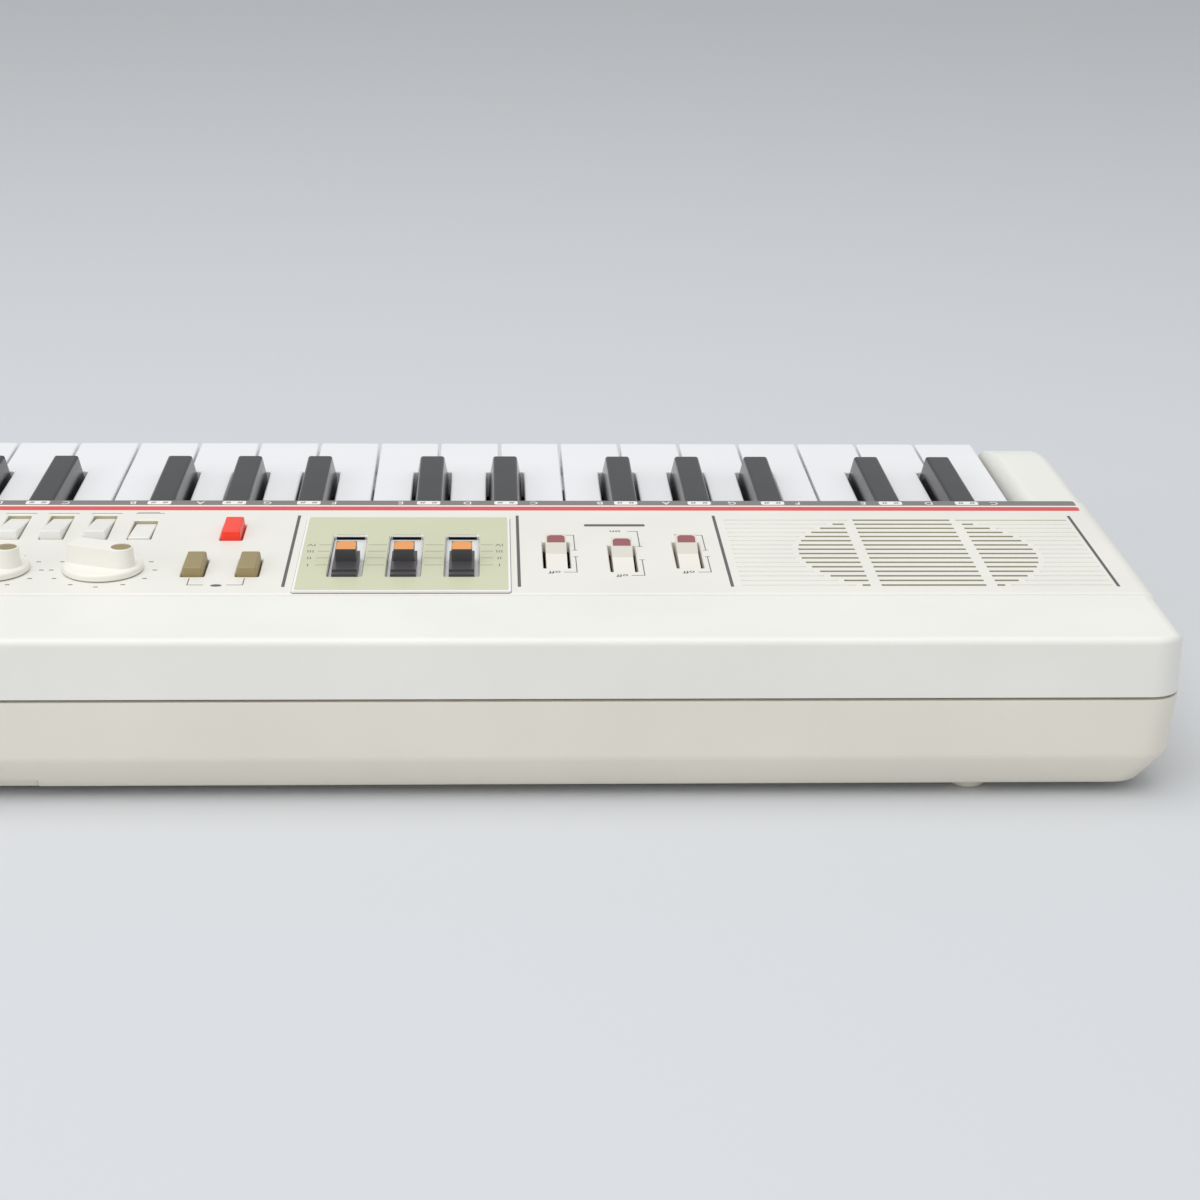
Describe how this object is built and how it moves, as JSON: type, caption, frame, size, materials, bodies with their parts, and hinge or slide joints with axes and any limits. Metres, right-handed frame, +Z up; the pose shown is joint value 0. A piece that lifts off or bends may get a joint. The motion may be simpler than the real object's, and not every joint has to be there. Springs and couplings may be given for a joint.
{
  "type": "portable keyboard",
  "caption": "Small cream portable keyboard with mini keys, a flat control panel with sliders, rockers, buttons and knobs, and a slotted loudspeaker grille.",
  "frame": {"origin": "bottom centre of the bounding box, where the feet stand", "axes": "+X towards the high keys, +Y away from the player, +Z up"},
  "size_m": [0.4356, 0.187, 0.0497],
  "materials": {
    "upper_case_plastic": "fine matt moulding, warm white",
    "lower_case_plastic": "fine matt moulding, greyed cream",
    "panel_plastic": "satin, printed",
    "white_key_plastic": "semi-gloss, cool white",
    "black_key_plastic": "satin black",
    "rocker_plastic": "satin cream",
    "rhythm_button_plastic": "satin warm white",
    "khaki_plastic": "satin khaki",
    "red_plastic": "satin orange red",
    "slider_plastic": "satin black",
    "knob_plastic": "satin warm white",
    "frame_plastic": "plain moulding, unseen",
    "board_laminate": "lacquered laminate, unseen",
    "speaker_cone": "black paper and steel, unseen"
  },
  "bodies": {
    "chassis": {"lower_case": "lower_case_plastic", "upper_case": "upper_case_plastic", "control_panel": "panel_plastic", "key_frame": "frame_plastic", "circuit_board": "board_laminate", "speaker": "speaker_cone"},
    "white_key_c1": {"white_key_c1": "white_key_plastic"},
    "white_key_d1": {"white_key_d1": "white_key_plastic"},
    "white_key_e1": {"white_key_e1": "white_key_plastic"},
    "white_key_f1": {"white_key_f1": "white_key_plastic"},
    "white_key_g1": {"white_key_g1": "white_key_plastic"},
    "white_key_a1": {"white_key_a1": "white_key_plastic"},
    "white_key_b1": {"white_key_b1": "white_key_plastic"},
    "white_key_c2": {"white_key_c2": "white_key_plastic"},
    "white_key_d2": {"white_key_d2": "white_key_plastic"},
    "white_key_e2": {"white_key_e2": "white_key_plastic"},
    "white_key_f2": {"white_key_f2": "white_key_plastic"},
    "white_key_g2": {"white_key_g2": "white_key_plastic"},
    "white_key_a2": {"white_key_a2": "white_key_plastic"},
    "white_key_b2": {"white_key_b2": "white_key_plastic"},
    "white_key_c3": {"white_key_c3": "white_key_plastic"},
    "white_key_d3": {"white_key_d3": "white_key_plastic"},
    "white_key_e3": {"white_key_e3": "white_key_plastic"},
    "white_key_f3": {"white_key_f3": "white_key_plastic"},
    "white_key_g3": {"white_key_g3": "white_key_plastic"},
    "white_key_a3": {"white_key_a3": "white_key_plastic"},
    "white_key_b3": {"white_key_b3": "white_key_plastic"},
    "white_key_c4": {"white_key_c4": "white_key_plastic"},
    "black_key_c_sharp1": {"black_key_c_sharp1": "black_key_plastic"},
    "black_key_d_sharp1": {"black_key_d_sharp1": "black_key_plastic"},
    "black_key_f_sharp1": {"black_key_f_sharp1": "black_key_plastic"},
    "black_key_g_sharp1": {"black_key_g_sharp1": "black_key_plastic"},
    "black_key_a_sharp1": {"black_key_a_sharp1": "black_key_plastic"},
    "black_key_c_sharp2": {"black_key_c_sharp2": "black_key_plastic"},
    "black_key_d_sharp2": {"black_key_d_sharp2": "black_key_plastic"},
    "black_key_f_sharp2": {"black_key_f_sharp2": "black_key_plastic"},
    "black_key_g_sharp2": {"black_key_g_sharp2": "black_key_plastic"},
    "black_key_a_sharp2": {"black_key_a_sharp2": "black_key_plastic"},
    "black_key_c_sharp3": {"black_key_c_sharp3": "black_key_plastic"},
    "black_key_d_sharp3": {"black_key_d_sharp3": "black_key_plastic"},
    "black_key_f_sharp3": {"black_key_f_sharp3": "black_key_plastic"},
    "black_key_g_sharp3": {"black_key_g_sharp3": "black_key_plastic"},
    "black_key_a_sharp3": {"black_key_a_sharp3": "black_key_plastic"},
    "variation_slider_1": {"variation_slider_1": "slider_plastic"},
    "variation_slider_2": {"variation_slider_2": "slider_plastic"},
    "variation_slider_3": {"variation_slider_3": "slider_plastic"},
    "mode_rocker_1": {"mode_rocker_1": "rocker_plastic"},
    "mode_rocker_2": {"mode_rocker_2": "rocker_plastic"},
    "mode_rocker_3": {"mode_rocker_3": "rocker_plastic"},
    "power_rocker": {"power_rocker": "rocker_plastic"},
    "start_button": {"start_button": "khaki_plastic"},
    "synchro_button": {"synchro_button": "khaki_plastic"},
    "fill_in_button": {"fill_in_button": "red_plastic"},
    "rhythm_button_2": {"rhythm_button_2": "rhythm_button_plastic"},
    "rhythm_button_3": {"rhythm_button_3": "rhythm_button_plastic"},
    "rhythm_button_4": {"rhythm_button_4": "rhythm_button_plastic"},
    "rhythm_button_1": {"rhythm_button_1": "rhythm_button_plastic"},
    "knob_1": {"knob_1": "knob_plastic"},
    "knob_2": {"knob_2": "knob_plastic"},
    "battery_cover": {"battery_cover": "lower_case_plastic"}
  },
  "joints": [
    {"name": "white_key_c1_press", "type": "hinge", "parent": "chassis", "child": "white_key_c1", "pos_m": [-0.1911, -0.0092, 0.0288], "axis": [1, 0, 0], "range_deg": [0, 2.38], "stiffness_Nm_per_rad": 0.5, "springref_deg": -1.72},
    {"name": "white_key_d1_press", "type": "hinge", "parent": "chassis", "child": "white_key_d1", "pos_m": [-0.1729, -0.0092, 0.0288], "axis": [1, 0, 0], "range_deg": [0, 2.38], "stiffness_Nm_per_rad": 0.5, "springref_deg": -1.72},
    {"name": "white_key_e1_press", "type": "hinge", "parent": "chassis", "child": "white_key_e1", "pos_m": [-0.1547, -0.0092, 0.0288], "axis": [1, 0, 0], "range_deg": [0, 2.38], "stiffness_Nm_per_rad": 0.5, "springref_deg": -1.72},
    {"name": "white_key_f1_press", "type": "hinge", "parent": "chassis", "child": "white_key_f1", "pos_m": [-0.1365, -0.0092, 0.0288], "axis": [1, 0, 0], "range_deg": [0, 2.38], "stiffness_Nm_per_rad": 0.5, "springref_deg": -1.72},
    {"name": "white_key_g1_press", "type": "hinge", "parent": "chassis", "child": "white_key_g1", "pos_m": [-0.1183, -0.0092, 0.0288], "axis": [1, 0, 0], "range_deg": [0, 2.38], "stiffness_Nm_per_rad": 0.5, "springref_deg": -1.72},
    {"name": "white_key_a1_press", "type": "hinge", "parent": "chassis", "child": "white_key_a1", "pos_m": [-0.1001, -0.0092, 0.0288], "axis": [1, 0, 0], "range_deg": [0, 2.38], "stiffness_Nm_per_rad": 0.5, "springref_deg": -1.72},
    {"name": "white_key_b1_press", "type": "hinge", "parent": "chassis", "child": "white_key_b1", "pos_m": [-0.0819, -0.0092, 0.0288], "axis": [1, 0, 0], "range_deg": [0, 2.38], "stiffness_Nm_per_rad": 0.5, "springref_deg": -1.72},
    {"name": "white_key_c2_press", "type": "hinge", "parent": "chassis", "child": "white_key_c2", "pos_m": [-0.0637, -0.0092, 0.0288], "axis": [1, 0, 0], "range_deg": [0, 2.38], "stiffness_Nm_per_rad": 0.5, "springref_deg": -1.72},
    {"name": "white_key_d2_press", "type": "hinge", "parent": "chassis", "child": "white_key_d2", "pos_m": [-0.0455, -0.0092, 0.0288], "axis": [1, 0, 0], "range_deg": [0, 2.38], "stiffness_Nm_per_rad": 0.5, "springref_deg": -1.72},
    {"name": "white_key_e2_press", "type": "hinge", "parent": "chassis", "child": "white_key_e2", "pos_m": [-0.0273, -0.0092, 0.0288], "axis": [1, 0, 0], "range_deg": [0, 2.38], "stiffness_Nm_per_rad": 0.5, "springref_deg": -1.72},
    {"name": "white_key_f2_press", "type": "hinge", "parent": "chassis", "child": "white_key_f2", "pos_m": [-0.0091, -0.0092, 0.0288], "axis": [1, 0, 0], "range_deg": [0, 2.38], "stiffness_Nm_per_rad": 0.5, "springref_deg": -1.72},
    {"name": "white_key_g2_press", "type": "hinge", "parent": "chassis", "child": "white_key_g2", "pos_m": [0.0091, -0.0092, 0.0288], "axis": [1, 0, 0], "range_deg": [0, 2.38], "stiffness_Nm_per_rad": 0.5, "springref_deg": -1.72},
    {"name": "white_key_a2_press", "type": "hinge", "parent": "chassis", "child": "white_key_a2", "pos_m": [0.0273, -0.0092, 0.0288], "axis": [1, 0, 0], "range_deg": [0, 2.38], "stiffness_Nm_per_rad": 0.5, "springref_deg": -1.72},
    {"name": "white_key_b2_press", "type": "hinge", "parent": "chassis", "child": "white_key_b2", "pos_m": [0.0455, -0.0092, 0.0288], "axis": [1, 0, 0], "range_deg": [0, 2.38], "stiffness_Nm_per_rad": 0.5, "springref_deg": -1.72},
    {"name": "white_key_c3_press", "type": "hinge", "parent": "chassis", "child": "white_key_c3", "pos_m": [0.0637, -0.0092, 0.0288], "axis": [1, 0, 0], "range_deg": [0, 2.38], "stiffness_Nm_per_rad": 0.5, "springref_deg": -1.72},
    {"name": "white_key_d3_press", "type": "hinge", "parent": "chassis", "child": "white_key_d3", "pos_m": [0.0819, -0.0092, 0.0288], "axis": [1, 0, 0], "range_deg": [0, 2.38], "stiffness_Nm_per_rad": 0.5, "springref_deg": -1.72},
    {"name": "white_key_e3_press", "type": "hinge", "parent": "chassis", "child": "white_key_e3", "pos_m": [0.1001, -0.0092, 0.0288], "axis": [1, 0, 0], "range_deg": [0, 2.38], "stiffness_Nm_per_rad": 0.5, "springref_deg": -1.72},
    {"name": "white_key_f3_press", "type": "hinge", "parent": "chassis", "child": "white_key_f3", "pos_m": [0.1183, -0.0092, 0.0288], "axis": [1, 0, 0], "range_deg": [0, 2.38], "stiffness_Nm_per_rad": 0.5, "springref_deg": -1.72},
    {"name": "white_key_g3_press", "type": "hinge", "parent": "chassis", "child": "white_key_g3", "pos_m": [0.1365, -0.0092, 0.0288], "axis": [1, 0, 0], "range_deg": [0, 2.38], "stiffness_Nm_per_rad": 0.5, "springref_deg": -1.72},
    {"name": "white_key_a3_press", "type": "hinge", "parent": "chassis", "child": "white_key_a3", "pos_m": [0.1547, -0.0092, 0.0288], "axis": [1, 0, 0], "range_deg": [0, 2.38], "stiffness_Nm_per_rad": 0.5, "springref_deg": -1.72},
    {"name": "white_key_b3_press", "type": "hinge", "parent": "chassis", "child": "white_key_b3", "pos_m": [0.1729, -0.0092, 0.0288], "axis": [1, 0, 0], "range_deg": [0, 2.38], "stiffness_Nm_per_rad": 0.5, "springref_deg": -1.72},
    {"name": "white_key_c4_press", "type": "hinge", "parent": "chassis", "child": "white_key_c4", "pos_m": [0.1911, -0.0092, 0.0288], "axis": [1, 0, 0], "range_deg": [0, 2.38], "stiffness_Nm_per_rad": 0.5, "springref_deg": -1.72},
    {"name": "black_key_c_sharp1_press", "type": "hinge", "parent": "chassis", "child": "black_key_c_sharp1", "pos_m": [-0.1835, -0.0092, 0.0288], "axis": [1, 0, 0], "range_deg": [0, 2.38], "stiffness_Nm_per_rad": 0.4, "springref_deg": -1.72},
    {"name": "black_key_d_sharp1_press", "type": "hinge", "parent": "chassis", "child": "black_key_d_sharp1", "pos_m": [-0.1623, -0.0092, 0.0288], "axis": [1, 0, 0], "range_deg": [0, 2.38], "stiffness_Nm_per_rad": 0.4, "springref_deg": -1.72},
    {"name": "black_key_f_sharp1_press", "type": "hinge", "parent": "chassis", "child": "black_key_f_sharp1", "pos_m": [-0.1296, -0.0092, 0.0288], "axis": [1, 0, 0], "range_deg": [0, 2.38], "stiffness_Nm_per_rad": 0.4, "springref_deg": -1.72},
    {"name": "black_key_g_sharp1_press", "type": "hinge", "parent": "chassis", "child": "black_key_g_sharp1", "pos_m": [-0.1093, -0.0092, 0.0288], "axis": [1, 0, 0], "range_deg": [0, 2.38], "stiffness_Nm_per_rad": 0.4, "springref_deg": -1.72},
    {"name": "black_key_a_sharp1_press", "type": "hinge", "parent": "chassis", "child": "black_key_a_sharp1", "pos_m": [-0.089, -0.0092, 0.0288], "axis": [1, 0, 0], "range_deg": [0, 2.38], "stiffness_Nm_per_rad": 0.4, "springref_deg": -1.72},
    {"name": "black_key_c_sharp2_press", "type": "hinge", "parent": "chassis", "child": "black_key_c_sharp2", "pos_m": [-0.0561, -0.0092, 0.0288], "axis": [1, 0, 0], "range_deg": [0, 2.38], "stiffness_Nm_per_rad": 0.4, "springref_deg": -1.72},
    {"name": "black_key_d_sharp2_press", "type": "hinge", "parent": "chassis", "child": "black_key_d_sharp2", "pos_m": [-0.0349, -0.0092, 0.0288], "axis": [1, 0, 0], "range_deg": [0, 2.38], "stiffness_Nm_per_rad": 0.4, "springref_deg": -1.72},
    {"name": "black_key_f_sharp2_press", "type": "hinge", "parent": "chassis", "child": "black_key_f_sharp2", "pos_m": [-0.0022, -0.0092, 0.0288], "axis": [1, 0, 0], "range_deg": [0, 2.38], "stiffness_Nm_per_rad": 0.4, "springref_deg": -1.72},
    {"name": "black_key_g_sharp2_press", "type": "hinge", "parent": "chassis", "child": "black_key_g_sharp2", "pos_m": [0.0181, -0.0092, 0.0288], "axis": [1, 0, 0], "range_deg": [0, 2.38], "stiffness_Nm_per_rad": 0.4, "springref_deg": -1.72},
    {"name": "black_key_a_sharp2_press", "type": "hinge", "parent": "chassis", "child": "black_key_a_sharp2", "pos_m": [0.0384, -0.0092, 0.0288], "axis": [1, 0, 0], "range_deg": [0, 2.38], "stiffness_Nm_per_rad": 0.4, "springref_deg": -1.72},
    {"name": "black_key_c_sharp3_press", "type": "hinge", "parent": "chassis", "child": "black_key_c_sharp3", "pos_m": [0.0713, -0.0092, 0.0288], "axis": [1, 0, 0], "range_deg": [0, 2.38], "stiffness_Nm_per_rad": 0.4, "springref_deg": -1.72},
    {"name": "black_key_d_sharp3_press", "type": "hinge", "parent": "chassis", "child": "black_key_d_sharp3", "pos_m": [0.0925, -0.0092, 0.0288], "axis": [1, 0, 0], "range_deg": [0, 2.38], "stiffness_Nm_per_rad": 0.4, "springref_deg": -1.72},
    {"name": "black_key_f_sharp3_press", "type": "hinge", "parent": "chassis", "child": "black_key_f_sharp3", "pos_m": [0.1252, -0.0092, 0.0288], "axis": [1, 0, 0], "range_deg": [0, 2.38], "stiffness_Nm_per_rad": 0.4, "springref_deg": -1.72},
    {"name": "black_key_g_sharp3_press", "type": "hinge", "parent": "chassis", "child": "black_key_g_sharp3", "pos_m": [0.1455, -0.0092, 0.0288], "axis": [1, 0, 0], "range_deg": [0, 2.38], "stiffness_Nm_per_rad": 0.4, "springref_deg": -1.72},
    {"name": "black_key_a_sharp3_press", "type": "hinge", "parent": "chassis", "child": "black_key_a_sharp3", "pos_m": [0.1658, -0.0092, 0.0288], "axis": [1, 0, 0], "range_deg": [0, 2.38], "stiffness_Nm_per_rad": 0.4, "springref_deg": -1.72},
    {"name": "variation_slider_1_slide", "type": "slide", "parent": "chassis", "child": "variation_slider_1", "axis": [0, -1, 0], "range_m": [0, 0.0158]},
    {"name": "variation_slider_2_slide", "type": "slide", "parent": "chassis", "child": "variation_slider_2", "axis": [0, -1, 0], "range_m": [0, 0.0158]},
    {"name": "variation_slider_3_slide", "type": "slide", "parent": "chassis", "child": "variation_slider_3", "axis": [0, -1, 0], "range_m": [0, 0.0158]},
    {"name": "mode_rocker_1_rock", "type": "hinge", "parent": "chassis", "child": "mode_rocker_1", "pos_m": [-0.0688, 0.0315, 0.0398], "axis": [1, 0, 0], "range_deg": [0, 19.4]},
    {"name": "mode_rocker_2_rock", "type": "hinge", "parent": "chassis", "child": "mode_rocker_2", "pos_m": [-0.0858, 0.0343, 0.0398], "axis": [1, 0, 0], "range_deg": [0, 19.4]},
    {"name": "mode_rocker_3_rock", "type": "hinge", "parent": "chassis", "child": "mode_rocker_3", "pos_m": [-0.1028, 0.0315, 0.0398], "axis": [1, 0, 0], "range_deg": [0, 19.4]},
    {"name": "power_rocker_rock", "type": "hinge", "parent": "chassis", "child": "power_rocker", "pos_m": [0.186, 0.0315, 0.0398], "axis": [1, 0, 0], "range_deg": [0, 19.4]},
    {"name": "start_button_press", "type": "slide", "parent": "chassis", "child": "start_button", "axis": [0, 0, -1], "range_m": [0, 0.0022], "stiffness_N_per_m": 300, "springref_m": -0.0015},
    {"name": "synchro_button_press", "type": "slide", "parent": "chassis", "child": "synchro_button", "axis": [0, 0, -1], "range_m": [0, 0.0022], "stiffness_N_per_m": 300, "springref_m": -0.0015},
    {"name": "fill_in_button_press", "type": "slide", "parent": "chassis", "child": "fill_in_button", "axis": [0, 0, -1], "range_m": [0, 0.0022], "stiffness_N_per_m": 300, "springref_m": -0.0015},
    {"name": "rhythm_button_2_press", "type": "slide", "parent": "chassis", "child": "rhythm_button_2", "axis": [0, 0, -1], "range_m": [0, 0.0022], "stiffness_N_per_m": 300, "springref_m": -0.0015},
    {"name": "rhythm_button_3_press", "type": "slide", "parent": "chassis", "child": "rhythm_button_3", "axis": [0, 0, -1], "range_m": [0, 0.0022], "stiffness_N_per_m": 300, "springref_m": -0.0015},
    {"name": "rhythm_button_4_press", "type": "slide", "parent": "chassis", "child": "rhythm_button_4", "axis": [0, 0, -1], "range_m": [0, 0.0022], "stiffness_N_per_m": 300, "springref_m": -0.0015},
    {"name": "rhythm_button_1_release", "type": "slide", "parent": "chassis", "child": "rhythm_button_1", "axis": [0, 0, 1], "range_m": [0, 0.0018]},
    {"name": "knob_1_turn", "type": "hinge", "parent": "chassis", "child": "knob_1", "pos_m": [0.0454, 0.0438, 0.0431], "axis": [0, 0, 1], "range_deg": [-225, 75]},
    {"name": "knob_2_turn", "type": "hinge", "parent": "chassis", "child": "knob_2", "pos_m": [0.0737, 0.0438, 0.0431], "axis": [0, 0, 1], "range_deg": [-225, 75]},
    {"name": "battery_cover_slide", "type": "slide", "parent": "chassis", "child": "battery_cover", "axis": [0, 1, 0], "range_m": [0, 0.06]}
  ]
}
